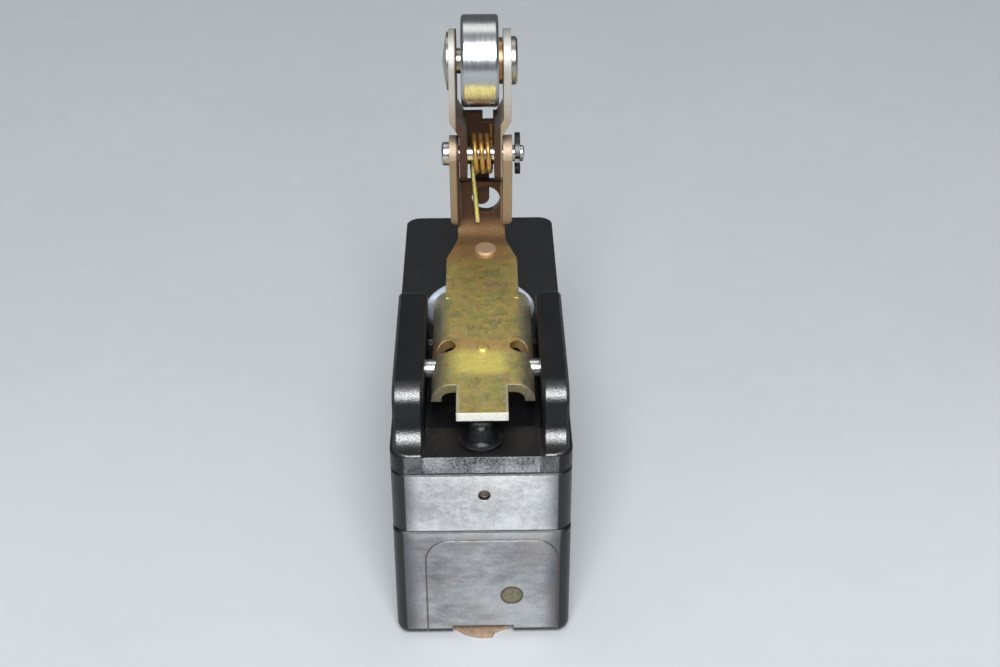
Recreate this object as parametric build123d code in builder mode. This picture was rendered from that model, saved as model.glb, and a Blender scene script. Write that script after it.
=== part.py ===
"""Limit switch: a moulded snap-action switch with a one-way hinge roller lever.

Frame: X across the body, +Y from the tail end to the roller end, +Z up.
The origin is the middle of the underside of the closed terminal cover. Millimetres.
"""

import os
from math import cos, radians, sin

from build123d import *

# ---------------------------------------------------------------- driving dimensions
# moulded body, three stacked layers
BODY_WIDTH = 17.45
BODY_LENGTH = 49.2
COVER_HEIGHT = 13.5
BASE_TOP = 20.4
RIM = 22.4
CHEEK_TOP = 28.1
CHEEK_INSET = 0.3
CORNER_RADIUS_LOWER = 1.3
CORNER_RADIUS_UPPER = 1.7
BOTTOM_EDGE_RADIUS = 1.25
SEAM_EDGE = 0.18
WALL = 1.5
NEAR_FACE = -BODY_LENGTH / 2

# mounting holes through the middle layer
MOUNT_SPACING = 25.4
MOUNT_RADIUS = 2.18
MOUNT_Z = (COVER_HEIGHT + BASE_TOP) / 2

# terminal cover
FLOOR_THICKNESS = 1.8
LINER_THICKNESS = 0.45
RECESS_DEPTH = 0.5
KNOCKOUT_WIDTH = 13.2
KNOCKOUT_OFFSET = 0.95
KNOCKOUT_TOP = 12.45
KNOCKOUT_RADIUS = 2.4
GROOVE = 0.14
PLUG_X = 2.9
PLUG_Z = 5.35
PLUG_RADIUS = 1.15
PLUG_DEPTH = 0.9

# screws that hold the layers together
COVER_SCREW_Y = 20.6
COVER_SCREW_RADIUS = 1.25
COVER_SCREW_HEAD = 2.0
COVER_BOSS_RADIUS = 2.3
CASE_SCREW_X = 6.8
CASE_SCREW_Y = 20.4
CASE_SCREW_RADIUS = 0.95
CASE_SCREW_HEAD = 1.6
CASE_SCREW_HEAD_HEIGHT = 1.3

# contact chamber inside the switch base
CHAMBER_WIDTH = 11.6
CHAMBER_HALF_LENGTH = 9.4
CHAMBER_FLOOR = 15.0

# terminals and their screws
TERMINAL_PITCH = 13.5
TERMINAL_THICKNESS = 1.2
TERMINAL_WIDTH = 8.0
TERMINAL_LENGTH = 8.0
TERMINAL_BOTTOM = COVER_HEIGHT - TERMINAL_THICKNESS
RISER_WIDTH = 3.0
RISER_THICKNESS = 0.8
SCREW_RADIUS = 1.75
SCREW_HEAD_RADIUS = 3.3
SCREW_HEAD_HEIGHT = 2.2
SCREW_TIP = 14.1
WASHER_RADIUS = 3.6
WASHER_THICKNESS = 0.6

# contacts and moving blade
BLADE_Z = 18.1
BLADE_THICKNESS = 0.3
BLADE_WIDTH = 4.0
BLADE_HINGE_Y = -8.2
BLADE_BEAD = 0.3
CONTACT_Y = 7.3
CONTACT_RADIUS = 0.9
NC_PAD_BOTTOM = 19.2
CONTACT_GAP = 0.05

# plunger
PLUNGER_Y = 2.4
PLUNGER_RADIUS = 1.75
PLUNGER_BORE = 1.83
PLUNGER_TOP = 27.0
SEAL_RADIUS = 5.9
SEAL_SHOULDER = 1.2
SEAL_TOP = RIM + 2.4

# cheeks on the top cover and the channel between them
CHANNEL_WIDTH = 11.3
CHANNEL_X = 0.2
CHEEK_END = -2.2
CHANNEL_STEP_Y = -19.5
CHANNEL_STEP_END = -3.4
CHANNEL_STEP = 0.6

# tail stop bumper
STOP_Y = -21.7
STOP_RADIUS = 2.1
STOP_HEIGHT = 2.25
STOP_STEM_RADIUS = 0.8

# main lever
SHEET = 1.0
PIVOT_Y = -13.0
PIVOT_Z = RIM + 2.5
PIVOT_RADIUS = 1.0
PIVOT_HALF_LENGTH = 7.6
RUNNING = 0.05
LEVER_TILT = radians(5.7)
LEVER_TOP = 1.76
LEVER_WIDTH = 10.2
LEVER_X = 0.24
LEVER_BEND = 2.0
LEVER_FRONT = -4.65
LEVER_BACK = 10.9
TAB_WIDTH = 5.0
TAB_X = -0.1
TAB_TIP_Y = -22.05
NARROW_WIDTH = 7.6
NECK_WIDTH = 5.2
TAPER_START = 3.6
TAPER_END = 7.2
WEB_FRONT = 8.4
WEB_TOP = RIM + 12.7
WEB_HOLE_Z = RIM + 10.6
WEB_HOLE_RADIUS = 1.55
WEB_HOLE_X = 0.5
FORK_WIDTH = 6.65
FORK_BOTTOM = RIM + 8.1
FORK_END_RADIUS = 1.95

# folding roller bracket
FOLD_Y = 6.9
FOLD_Z = RIM + 16.8
FOLD_PIN_RADIUS = 0.85
BRACKET_SHEET = 0.8
BRACKET_LOWER_WIDTH = 4.45
BRACKET_UPPER_WIDTH = 6.45
JOGGLE_BOTTOM = RIM + 19.5
JOGGLE_TOP = RIM + 21.2
BRACKET_WEB_FRONT = WEB_FRONT + SHEET + 0.05
BRACKET_WEB_TOP = RIM + 20.35
BRACKET_WEB_BOTTOM = RIM + 14.35
BRACKET_FOOT = RIM + 14.15
TONGUE_WIDTH = 1.8
TONGUE_END = RIM + 9.5
BRACKET_HEAD_RADIUS = 3.3

# roller
ROLLER_Y = 8.4
ROLLER_Z = RIM + 26.6
ROLLER_RADIUS = 4.75
ROLLER_LEFT = -1.95
ROLLER_WIDTH = 3.9
BUSH_RADIUS = 1.9
BUSH_FLANGE_RADIUS = 2.4
BUSH_FLANGE = 0.4
RIVET_RADIUS = 1.3

# torsion spring on the folding pin
WIRE = 0.27
COIL_RADIUS = 1.9
COIL_PITCH = 0.68
COIL_START_X = -0.9
COIL_START_ANGLE = 20.0
COIL_TURNS = 3

# retaining ring on the folding pin
RING_LEFT = 3.6
RING_THICKNESS = 0.55
RING_RADIUS = 2.2
RING_THROAT = 1.25
RING_GRIP = 0.62

os.makedirs("parts", exist_ok=True)


def save(piece, name, shift=0.0):
    """Move a finished piece sideways if asked, label it and write it under its own name."""
    finished = Pos(shift, 0, 0) * piece.part
    finished.label = name
    export_step(finished, f"parts/{name}.step")


def across(x):
    """A plane facing +X at the given X, with local x along Y and local y along Z."""
    return Plane.YZ.offset(x)


def facing(y):
    """A plane facing -Y at the given Y, with local x along X and local y along Z."""
    return Plane.XZ.offset(-y)


def lever_top(y):
    """Height of the sloping lever plate's upper face at a given Y."""
    slope = sin(LEVER_TILT) / cos(LEVER_TILT)
    return PIVOT_Z + LEVER_TOP / cos(LEVER_TILT) + slope * (y - PIVOT_Y)


# ---------------------------------------------------------------- terminal cover
def make_terminal_cover():
    """The bottom layer: an open-topped box with an arched knock-out in its near wall."""
    inner_width = BODY_WIDTH - 2 * WALL
    inner_length = BODY_LENGTH - 2 * WALL
    liner_width = 12.8
    liner_length = 44.0
    tongue_slot = 6.2
    tongue_centre = 0.0
    thin_depth = 0.6
    notch_height = 1.4
    head_room = COVER_SCREW_HEAD + RUNNING
    with BuildPart() as cover:
        with BuildSketch():
            RectangleRounded(BODY_WIDTH, BODY_LENGTH, CORNER_RADIUS_LOWER)
        extrude(amount=COVER_HEIGHT)
        fillet(cover.faces().sort_by(Axis.Z)[0].edges(), BOTTOM_EDGE_RADIUS)
        chamfer(cover.faces().sort_by(Axis.Z)[-1].edges(), SEAM_EDGE)
        with BuildSketch(Plane.XY.offset(FLOOR_THICKNESS)):
            Rectangle(inner_width, inner_length)
        extrude(amount=COVER_HEIGHT, mode=Mode.SUBTRACT)
        # bosses round the cover screws
        with BuildSketch(Plane.XY.offset(FLOOR_THICKNESS)):
            with Locations((0, -COVER_SCREW_Y), (0, COVER_SCREW_Y)):
                Circle(COVER_BOSS_RADIUS)
        extrude(amount=COVER_HEIGHT - FLOOR_THICKNESS)
        with BuildSketch():
            with Locations((0, -COVER_SCREW_Y), (0, COVER_SCREW_Y)):
                Circle(COVER_SCREW_RADIUS)
        extrude(amount=COVER_HEIGHT, mode=Mode.SUBTRACT)
        with BuildSketch():
            with Locations((0, -COVER_SCREW_Y), (0, COVER_SCREW_Y)):
                Circle(head_room)
        extrude(amount=FLOOR_THICKNESS, mode=Mode.SUBTRACT)
        # recess in the underside for the liner, with a slot for its tongue
        with BuildSketch():
            Rectangle(liner_width, liner_length)
        extrude(amount=RECESS_DEPTH, mode=Mode.SUBTRACT)
        with BuildSketch():
            with Locations((tongue_centre, NEAR_FACE)):
                Rectangle(tongue_slot, BODY_LENGTH - liner_length)
        extrude(amount=notch_height, mode=Mode.SUBTRACT)
        # the knock-out: a fine arched groove outside, and a thinned wall inside
        with BuildSketch(facing(NEAR_FACE)):
            for inset, way in ((0, Mode.ADD), (GROOVE, Mode.SUBTRACT)):
                left = KNOCKOUT_OFFSET - KNOCKOUT_WIDTH / 2 + inset
                right = KNOCKOUT_OFFSET + KNOCKOUT_WIDTH / 2 - inset
                top = KNOCKOUT_TOP - inset
                radius = KNOCKOUT_RADIUS - inset
                with BuildLine():
                    FilletPolyline((left, 0), (left, top), (right, top), (right, 0), radius=radius)
                    Line((right, 0), (left, 0))
                make_face(mode=way)
        extrude(amount=-GROOVE, mode=Mode.SUBTRACT)
        with BuildSketch(facing(NEAR_FACE + WALL)):
            with Locations((KNOCKOUT_OFFSET, KNOCKOUT_TOP / 2 + FLOOR_THICKNESS)):
                Rectangle(KNOCKOUT_WIDTH - 2, KNOCKOUT_TOP - 2 * FLOOR_THICKNESS)
        extrude(amount=thin_depth, mode=Mode.SUBTRACT)
        with BuildSketch(facing(NEAR_FACE)):
            with Locations((PLUG_X, PLUG_Z)):
                Circle(PLUG_RADIUS)
        extrude(amount=-PLUG_DEPTH, mode=Mode.SUBTRACT)
    save(cover, "terminal_cover")

    with BuildPart() as plug:
        with BuildSketch(facing(NEAR_FACE)):
            with Locations((PLUG_X, PLUG_Z)):
                Circle(PLUG_RADIUS)
        extrude(amount=-PLUG_DEPTH)
    save(plug, "end_plug")

    # the liner's torn tongue sticks out a little under the near face
    liner_gap = 0.2
    root_y = -21.5
    root_left, root_right = -2.95, 2.75
    tear_x, tear_y = 2.55, NEAR_FACE + 1.0
    step_x, step_y = 1.15, NEAR_FACE + 0.3
    tip_x, tip_y = 0.95, NEAR_FACE - 0.3
    bulge_x, bulge_y = -1.25, NEAR_FACE - 0.15
    side_x, side_y = -2.85, NEAR_FACE + 0.9
    with BuildPart() as liner:
        with BuildSketch():
            Rectangle(liner_width - liner_gap, liner_length - liner_gap)
            with BuildLine():
                Polyline((root_right, root_y), (tear_x, tear_y), (step_x, step_y), (tip_x, tip_y))
                ThreePointArc((tip_x, tip_y), (bulge_x, bulge_y), (side_x, side_y))
                Polyline((side_x, side_y), (root_left, root_y), (root_right, root_y))
            make_face()
            with Locations((0, -COVER_SCREW_Y), (0, COVER_SCREW_Y)):
                Circle(COVER_SCREW_HEAD, mode=Mode.SUBTRACT)
        extrude(amount=LINER_THICKNESS)
    save(liner, "base_liner")


def make_cover_screws():
    """Two screws that come up through the cover's floor and bosses into the base."""
    tip = 18.5
    with BuildPart() as screws:
        with BuildSketch(Plane.XY.offset(RECESS_DEPTH)):
            with Locations((0, -COVER_SCREW_Y), (0, COVER_SCREW_Y)):
                Circle(COVER_SCREW_HEAD)
        extrude(amount=FLOOR_THICKNESS - RECESS_DEPTH)
        with BuildSketch(Plane.XY.offset(FLOOR_THICKNESS)):
            with Locations((0, -COVER_SCREW_Y), (0, COVER_SCREW_Y)):
                Circle(COVER_SCREW_RADIUS)
        extrude(amount=tip - FLOOR_THICKNESS)
        with BuildSketch(Plane.XY.offset(RECESS_DEPTH)):
            with Locations((0, -COVER_SCREW_Y), (0, COVER_SCREW_Y)):
                Rectangle(3.2, 0.5)
        extrude(amount=0.6, mode=Mode.SUBTRACT)
    save(screws, "cover_screws")
    return tip


# ---------------------------------------------------------------- switch base
def make_switch_base(cover_screw_tip):
    """The middle layer: mounting holes across it and the contact chamber between them."""
    pocket = SCREW_RADIUS + 0.2
    dimple_z = 17.95
    with BuildPart() as base:
        with BuildSketch(Plane.XY.offset(COVER_HEIGHT)):
            RectangleRounded(BODY_WIDTH, BODY_LENGTH, CORNER_RADIUS_UPPER)
        extrude(amount=BASE_TOP - COVER_HEIGHT)
        chamfer(base.faces().sort_by(Axis.Z)[-1].edges(), SEAM_EDGE)
        chamfer(base.faces().sort_by(Axis.Z)[0].edges(), SEAM_EDGE)
        with BuildSketch(Plane.XY.offset(CHAMBER_FLOOR)):
            Rectangle(CHAMBER_WIDTH, 2 * CHAMBER_HALF_LENGTH)
        extrude(amount=BASE_TOP - CHAMBER_FLOOR, mode=Mode.SUBTRACT)
        with BuildSketch(across(-BODY_WIDTH / 2)):
            with Locations((-MOUNT_SPACING / 2, MOUNT_Z), (MOUNT_SPACING / 2, MOUNT_Z)):
                Circle(MOUNT_RADIUS)
        extrude(amount=BODY_WIDTH, mode=Mode.SUBTRACT)
        # pockets over the terminal screws' tips
        with BuildSketch(Plane.XY.offset(COVER_HEIGHT)):
            with GridLocations(0, TERMINAL_PITCH, 1, 3):
                Circle(pocket)
        extrude(amount=SCREW_TIP + 0.1 - COVER_HEIGHT, mode=Mode.SUBTRACT)
        # slots for the terminals' risers
        with BuildSketch(Plane.XY.offset(COVER_HEIGHT)):
            for riser_y in riser_places():
                with Locations((0, riser_y)):
                    Rectangle(RISER_WIDTH, RISER_THICKNESS)
        extrude(amount=CHAMBER_FLOOR - COVER_HEIGHT, mode=Mode.SUBTRACT)
        # holes for the case screws, with room for their heads underneath
        with BuildSketch(Plane.XY.offset(COVER_HEIGHT)):
            with GridLocations(2 * CASE_SCREW_X, 2 * CASE_SCREW_Y, 2, 2):
                Circle(CASE_SCREW_RADIUS)
        extrude(amount=BASE_TOP - COVER_HEIGHT, mode=Mode.SUBTRACT)
        with BuildSketch(Plane.XY.offset(COVER_HEIGHT)):
            with GridLocations(2 * CASE_SCREW_X, 2 * CASE_SCREW_Y, 2, 2):
                Circle(CASE_SCREW_HEAD)
        extrude(amount=CASE_SCREW_HEAD_HEIGHT, mode=Mode.SUBTRACT)
        with BuildSketch(Plane.XY.offset(COVER_HEIGHT)):
            with Locations((0, -COVER_SCREW_Y), (0, COVER_SCREW_Y)):
                Circle(COVER_SCREW_RADIUS)
        extrude(amount=cover_screw_tip - COVER_HEIGHT, mode=Mode.SUBTRACT)
        # a small dimple in the near end
        with BuildSketch(facing(NEAR_FACE)):
            with Locations((0.25, dimple_z)):
                Circle(0.6)
        extrude(amount=-0.5, mode=Mode.SUBTRACT)
    save(base, "switch_base")


def riser_places():
    """Y of the common, normally open and normally closed terminals' risers."""
    common = BLADE_HINGE_Y - 0.1 - RISER_THICKNESS / 2
    normally_open = CONTACT_Y - 0.6
    normally_closed = CHAMBER_HALF_LENGTH - RISER_THICKNESS / 2
    return common, normally_open, normally_closed


def make_case_screws():
    """Four self-tapping screws that join the top cover to the switch base."""
    near_tip = 25.6
    far_tip = 21.9
    with BuildPart() as screws:
        with BuildSketch(Plane.XY.offset(COVER_HEIGHT + 0.1)):
            with GridLocations(2 * CASE_SCREW_X, 2 * CASE_SCREW_Y, 2, 2):
                Circle(CASE_SCREW_HEAD)
        extrude(amount=CASE_SCREW_HEAD_HEIGHT - 0.1)
        for row_y, tip in ((-CASE_SCREW_Y, near_tip), (CASE_SCREW_Y, far_tip)):
            with BuildSketch(Plane.XY.offset(COVER_HEIGHT + CASE_SCREW_HEAD_HEIGHT)):
                with Locations((-CASE_SCREW_X, row_y), (CASE_SCREW_X, row_y)):
                    Circle(CASE_SCREW_RADIUS)
            extrude(amount=tip - COVER_HEIGHT - CASE_SCREW_HEAD_HEIGHT)
    save(screws, "case_screws")
    return near_tip, far_tip


# ---------------------------------------------------------------- top cover
def make_top_cover(near_tip, far_tip):
    """The top layer: a flat cover with two tall cheeks that carry the lever's pivot pin."""
    foot_y = NEAR_FACE
    lip_setback = 0.08
    face_y = NEAR_FACE + 2.5
    brow_y = face_y + 0.35
    foot_top = RIM + 0.1
    face_foot = RIM + 0.4
    sink = 0.5
    dish_radius = 2.0
    brow_radius = 2.0
    end_radius = 1.4
    edge = 0.3
    # cheeks: a dished front foot, a steep face and a rounded brow
    with BuildPart() as cheeks:
        with BuildSketch(Plane.YZ) as side:
            with BuildLine():
                Polyline(
                    (foot_y, RIM - sink),
                    (foot_y, foot_top),
                    (face_y, face_foot),
                    (brow_y, CHEEK_TOP),
                    (CHEEK_END, CHEEK_TOP),
                    (CHEEK_END, RIM - sink),
                    close=True,
                )
            make_face()
            corners = (
                (face_y, face_foot, dish_radius),
                (brow_y, CHEEK_TOP, brow_radius),
                (CHEEK_END, CHEEK_TOP, end_radius),
            )
            for corner_y, corner_z, radius in corners:
                corner = side.vertices().sort_by_distance((corner_y, corner_z, 0))[0]
                fillet(corner, radius)
        extrude(amount=BODY_WIDTH / 2, both=True)
        with BuildSketch(Plane.XY.offset(BASE_TOP)):
            RectangleRounded(BODY_WIDTH - 2 * CHEEK_INSET, BODY_LENGTH, CORNER_RADIUS_UPPER)
        extrude(amount=CHEEK_TOP, mode=Mode.INTERSECT)
        with BuildSketch(Plane.XY.offset(BASE_TOP)):
            with Locations((CHANNEL_X, 0)):
                Rectangle(CHANNEL_WIDTH, BODY_LENGTH)
        extrude(amount=CHEEK_TOP, mode=Mode.SUBTRACT)
        chamfer(cheeks.faces().filter_by(Axis.Z).group_by(Axis.Z)[-1].edges().filter_by(Axis.Y), edge)
    with BuildPart() as cover:
        with BuildSketch(Plane.XY.offset(BASE_TOP)):
            RectangleRounded(BODY_WIDTH, BODY_LENGTH, CORNER_RADIUS_UPPER)
        extrude(amount=RIM - BASE_TOP)
        chamfer(cover.faces().sort_by(Axis.Z)[0].edges(), SEAM_EDGE)
        with BuildSketch(Plane.XY.offset(BASE_TOP + SEAM_EDGE)):
            with Locations((CHANNEL_X, NEAR_FACE)):
                Rectangle(CHANNEL_WIDTH, 2 * lip_setback)
        extrude(amount=RIM, mode=Mode.SUBTRACT)
        add(cheeks.part)
        # the channel floor steps down behind the tail stop
        with BuildSketch(Plane.XY.offset(RIM - CHANNEL_STEP)):
            with Locations((CHANNEL_X, (CHANNEL_STEP_Y + CHANNEL_STEP_END) / 2)):
                Rectangle(CHANNEL_WIDTH, CHANNEL_STEP_END - CHANNEL_STEP_Y)
        extrude(amount=CHANNEL_STEP, mode=Mode.SUBTRACT)
        with BuildSketch(across(-PIVOT_HALF_LENGTH)):
            with Locations((PIVOT_Y, PIVOT_Z)):
                Circle(PIVOT_RADIUS)
        extrude(amount=2 * PIVOT_HALF_LENGTH, mode=Mode.SUBTRACT)
        with BuildSketch(Plane.XY.offset(BASE_TOP)):
            with Locations((0, PLUNGER_Y)):
                Circle(PLUNGER_BORE)
        extrude(amount=RIM - BASE_TOP, mode=Mode.SUBTRACT)
        with BuildSketch(Plane.XY.offset(RIM - WALL)):
            with Locations((0, STOP_Y)):
                Circle(STOP_STEM_RADIUS)
        extrude(amount=WALL, mode=Mode.SUBTRACT)
        for row_y, tip in ((-CASE_SCREW_Y, near_tip), (CASE_SCREW_Y, far_tip)):
            with BuildSketch(Plane.XY.offset(BASE_TOP)):
                with Locations((-CASE_SCREW_X, row_y), (CASE_SCREW_X, row_y)):
                    Circle(CASE_SCREW_RADIUS)
            extrude(amount=tip - BASE_TOP, mode=Mode.SUBTRACT)
    save(cover, "top_cover")


def make_tail_stop():
    """A small bell-shaped bumper under the lever's tail, with a stem in the cover."""
    top = RIM + STOP_HEIGHT
    brim = RIM + 0.22
    flare, flare_rise = 1.6, 0.28
    waist, waist_rise = 1.36, 0.85
    crown, crown_drop = 1.2, 0.45
    cap, cap_drop = 0.95, 0.12
    flat = 0.45
    with BuildPart() as stop:
        with BuildSketch(Plane.YZ):
            with BuildLine():
                Polyline((0, RIM), (STOP_RADIUS, RIM), (STOP_RADIUS, brim))
                ThreePointArc((STOP_RADIUS, brim), (flare, brim + flare_rise), (waist, brim + waist_rise))
                Line((waist, brim + waist_rise), (crown, top - crown_drop))
                ThreePointArc((crown, top - crown_drop), (cap, top - cap_drop), (flat, top))
                Polyline((flat, top), (0, top), (0, RIM))
            make_face()
        revolve(axis=Axis.Z)
        with BuildSketch(Plane.XY.offset(RIM - WALL)):
            Circle(STOP_STEM_RADIUS)
        extrude(amount=WALL)
    stop.part.position = (0, STOP_Y, 0)
    save(stop, "tail_stop")


# ---------------------------------------------------------------- terminals and contacts
def make_terminal(name, plate_y, riser_y, riser_top):
    """A brass terminal: a tapped plate under the base and a riser into the chamber."""
    low_y = min(plate_y - TERMINAL_LENGTH / 2, riser_y - RISER_THICKNESS / 2)
    high_y = max(plate_y + TERMINAL_LENGTH / 2, riser_y + RISER_THICKNESS / 2)
    with BuildPart() as terminal:
        with BuildSketch(Plane.XY.offset(TERMINAL_BOTTOM)):
            with Locations((0, plate_y)):
                Rectangle(TERMINAL_WIDTH, TERMINAL_LENGTH)
            with Locations((0, (low_y + high_y) / 2)):
                Rectangle(RISER_WIDTH, high_y - low_y)
            with Locations((0, plate_y)):
                Circle(SCREW_RADIUS, mode=Mode.SUBTRACT)
        extrude(amount=TERMINAL_THICKNESS)
        with BuildSketch(Plane.XY.offset(TERMINAL_BOTTOM)):
            with Locations((0, riser_y)):
                Rectangle(RISER_WIDTH, RISER_THICKNESS)
        extrude(amount=riser_top - TERMINAL_BOTTOM)
        if name == "terminal_com":
            # a round seat for the blade's beaded end
            with BuildSketch(across(-RISER_WIDTH)):
                with Locations((BLADE_HINGE_Y, BLADE_Z)):
                    Circle(BLADE_BEAD + RUNNING)
            extrude(amount=2 * RISER_WIDTH, mode=Mode.SUBTRACT)
        if name == "terminal_nc":
            pad_y = PLUNGER_Y + 2.1
            with BuildSketch(Plane.XY.offset(NC_PAD_BOTTOM)):
                with Locations((0, (pad_y + CHAMBER_HALF_LENGTH) / 2)):
                    Rectangle(RISER_WIDTH, CHAMBER_HALF_LENGTH - pad_y)
            extrude(amount=RISER_THICKNESS)
        if name == "terminal_no":
            with BuildSketch(Plane.XY.offset(CHAMBER_FLOOR)):
                with Locations((0, CONTACT_Y - 0.1)):
                    Rectangle(RISER_WIDTH, RISER_WIDTH - 0.4)
            extrude(amount=0.2)
    save(terminal, name)


def make_terminals():
    """The three terminals, their screws and their washers."""
    common, normally_open, normally_closed = riser_places()
    make_terminal("terminal_com", -TERMINAL_PITCH, common, BLADE_Z + 0.8)
    make_terminal("terminal_no", 0, normally_open, CHAMBER_FLOOR + 0.2)
    make_terminal("terminal_nc", TERMINAL_PITCH, normally_closed, NC_PAD_BOTTOM + RISER_THICKNESS)

    washer_bottom = TERMINAL_BOTTOM - WASHER_THICKNESS
    head_bottom = washer_bottom - SCREW_HEAD_HEIGHT
    with BuildPart() as screws:
        with BuildSketch(Plane.XY.offset(head_bottom)):
            with GridLocations(0, TERMINAL_PITCH, 1, 3):
                Circle(SCREW_HEAD_RADIUS)
        extrude(amount=SCREW_HEAD_HEIGHT)
        fillet(screws.faces().group_by(Axis.Z)[0].edges(), 0.5)
        with BuildSketch(Plane.XY.offset(washer_bottom)):
            with GridLocations(0, TERMINAL_PITCH, 1, 3):
                Circle(SCREW_RADIUS)
        extrude(amount=SCREW_TIP - washer_bottom)
        with BuildSketch(Plane.XY.offset(head_bottom)):
            with GridLocations(0, TERMINAL_PITCH, 1, 3):
                Rectangle(2 * SCREW_HEAD_RADIUS, 0.9)
                Rectangle(0.9, 4.4)
        extrude(amount=1.0, mode=Mode.SUBTRACT)
    save(screws, "terminal_screws")

    with BuildPart() as washers:
        with BuildSketch(Plane.XY.offset(washer_bottom)):
            with GridLocations(0, TERMINAL_PITCH, 1, 3):
                Circle(WASHER_RADIUS)
                Circle(SCREW_RADIUS, mode=Mode.SUBTRACT)
        extrude(amount=WASHER_THICKNESS)
    save(washers, "terminal_washers")


def make_contact(name, bottom, top):
    """A round silver contact button on the contact axis."""
    with BuildPart() as contact:
        with BuildSketch(Plane.XY.offset(bottom)):
            with Locations((0, CONTACT_Y)):
                Circle(CONTACT_RADIUS)
        extrude(amount=top - bottom)
    save(contact, name)


def make_contacts():
    """Both fixed contacts, the moving contact and the blade that carries it."""
    moving_top = NC_PAD_BOTTOM - 0.5 - CONTACT_GAP
    moving_bottom = BLADE_Z - BLADE_THICKNESS / 2 - 0.2
    make_contact("fixed_contact_nc", NC_PAD_BOTTOM - 0.5, NC_PAD_BOTTOM)
    make_contact("fixed_contact_no", CHAMBER_FLOOR + 0.2, CHAMBER_FLOOR + 0.5)
    make_contact("moving_contact", moving_bottom, moving_top)

    blade_end = CONTACT_Y + CONTACT_RADIUS + 0.25
    blade_bottom = BLADE_Z - BLADE_THICKNESS / 2
    window_back = 1.2
    window_front = BLADE_HINGE_Y + 1.6
    rail = 0.9
    tongue_end = window_front + 0.5
    rise = 0.9
    with BuildPart() as blade:
        with BuildSketch(Plane.XY.offset(blade_bottom)):
            with Locations((0, (BLADE_HINGE_Y + blade_end) / 2)):
                Rectangle(BLADE_WIDTH, blade_end - BLADE_HINGE_Y)
            with Locations((0, (window_back + window_front) / 2)):
                Rectangle(BLADE_WIDTH - 2 * rail, window_back - window_front, mode=Mode.SUBTRACT)
            with Locations((0, CONTACT_Y)):
                Circle(CONTACT_RADIUS, mode=Mode.SUBTRACT)
        extrude(amount=BLADE_THICKNESS)
        # the bead that it hinges on
        with BuildSketch(across(-BLADE_WIDTH / 2)):
            with Locations((BLADE_HINGE_Y, BLADE_Z)):
                Circle(BLADE_BEAD)
        extrude(amount=BLADE_WIDTH)
        # the bowed centre tongue that gives the snap, rooted in the blade behind the window
        root_y = window_back + 0.5
        skin = 0.06
        low_z = blade_bottom + skin
        high_z = blade_bottom + BLADE_THICKNESS - skin
        middle = (root_y + tongue_end) / 2
        with BuildSketch(Plane.YZ):
            with BuildLine():
                ThreePointArc((root_y, low_z), (middle, low_z + rise), (tongue_end, low_z))
                Line((tongue_end, low_z), (tongue_end, high_z))
                ThreePointArc((tongue_end, high_z), (middle, high_z + rise), (root_y, high_z))
                Line((root_y, high_z), (root_y, low_z))
            make_face()
        extrude(amount=BLADE_WIDTH / 2 - rail - 0.2, both=True)
    save(blade, "snap_blade")


# ---------------------------------------------------------------- plunger
def make_plunger():
    """The round plunger with its retaining crossbar, and the seal round its neck."""
    nib_bottom = BLADE_Z + BLADE_THICKNESS / 2 + RUNNING
    nib_radius = 0.6
    crossbar_bottom = 19.3
    crossbar_length, crossbar_width, crossbar_corner = 6.4, 3.8, 0.5
    crossbar_thickness = 0.8
    dome = 0.7
    with BuildPart() as plunger:
        with BuildSketch(Plane.XY.offset(crossbar_bottom)):
            with Locations((0, PLUNGER_Y)):
                Circle(PLUNGER_RADIUS)
        extrude(amount=PLUNGER_TOP - crossbar_bottom)
        fillet(plunger.faces().sort_by(Axis.Z)[-1].edges(), dome)
        with BuildSketch(Plane.XY.offset(crossbar_bottom)):
            with Locations((0, PLUNGER_Y)):
                RectangleRounded(crossbar_length, crossbar_width, crossbar_corner)
        extrude(amount=crossbar_thickness)
        with BuildSketch(Plane.XY.offset(nib_bottom)):
            with Locations((0, PLUNGER_Y)):
                Circle(nib_radius)
        extrude(amount=crossbar_bottom - nib_bottom)
    save(plunger, "plunger")

    shoulder = RIM + SEAL_SHOULDER
    seal_side = RIM + 0.6
    round_x = SEAL_RADIUS - 0.3
    round_z = shoulder - 0.25
    shoulder_x = SEAL_RADIUS - 1.1
    collar_foot, collar_top = 3.4, 2.7
    with BuildPart() as seal:
        with BuildSketch(Plane.YZ):
            with BuildLine():
                Polyline((PLUNGER_BORE, RIM), (SEAL_RADIUS, RIM), (SEAL_RADIUS, seal_side))
                ThreePointArc((SEAL_RADIUS, seal_side), (round_x, round_z), (shoulder_x, shoulder))
                Polyline(
                    (shoulder_x, shoulder),
                    (collar_foot, shoulder),
                    (collar_top, SEAL_TOP),
                    (PLUNGER_BORE, SEAL_TOP),
                    (PLUNGER_BORE, RIM),
                )
            make_face()
        revolve(axis=Axis.Z)
    seal.part.position = (0, PLUNGER_Y, 0)
    save(seal, "plunger_seal")


# ---------------------------------------------------------------- main lever
def make_pivot_pin():
    """The plain pin, held in both cheeks, that the lever turns on."""
    with BuildPart() as pin:
        with BuildSketch(across(-PIVOT_HALF_LENGTH)):
            with Locations((PIVOT_Y, PIVOT_Z)):
                Circle(PIVOT_RADIUS)
        extrude(amount=2 * PIVOT_HALF_LENGTH)
    save(pin, "lever_pivot_pin")


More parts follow.
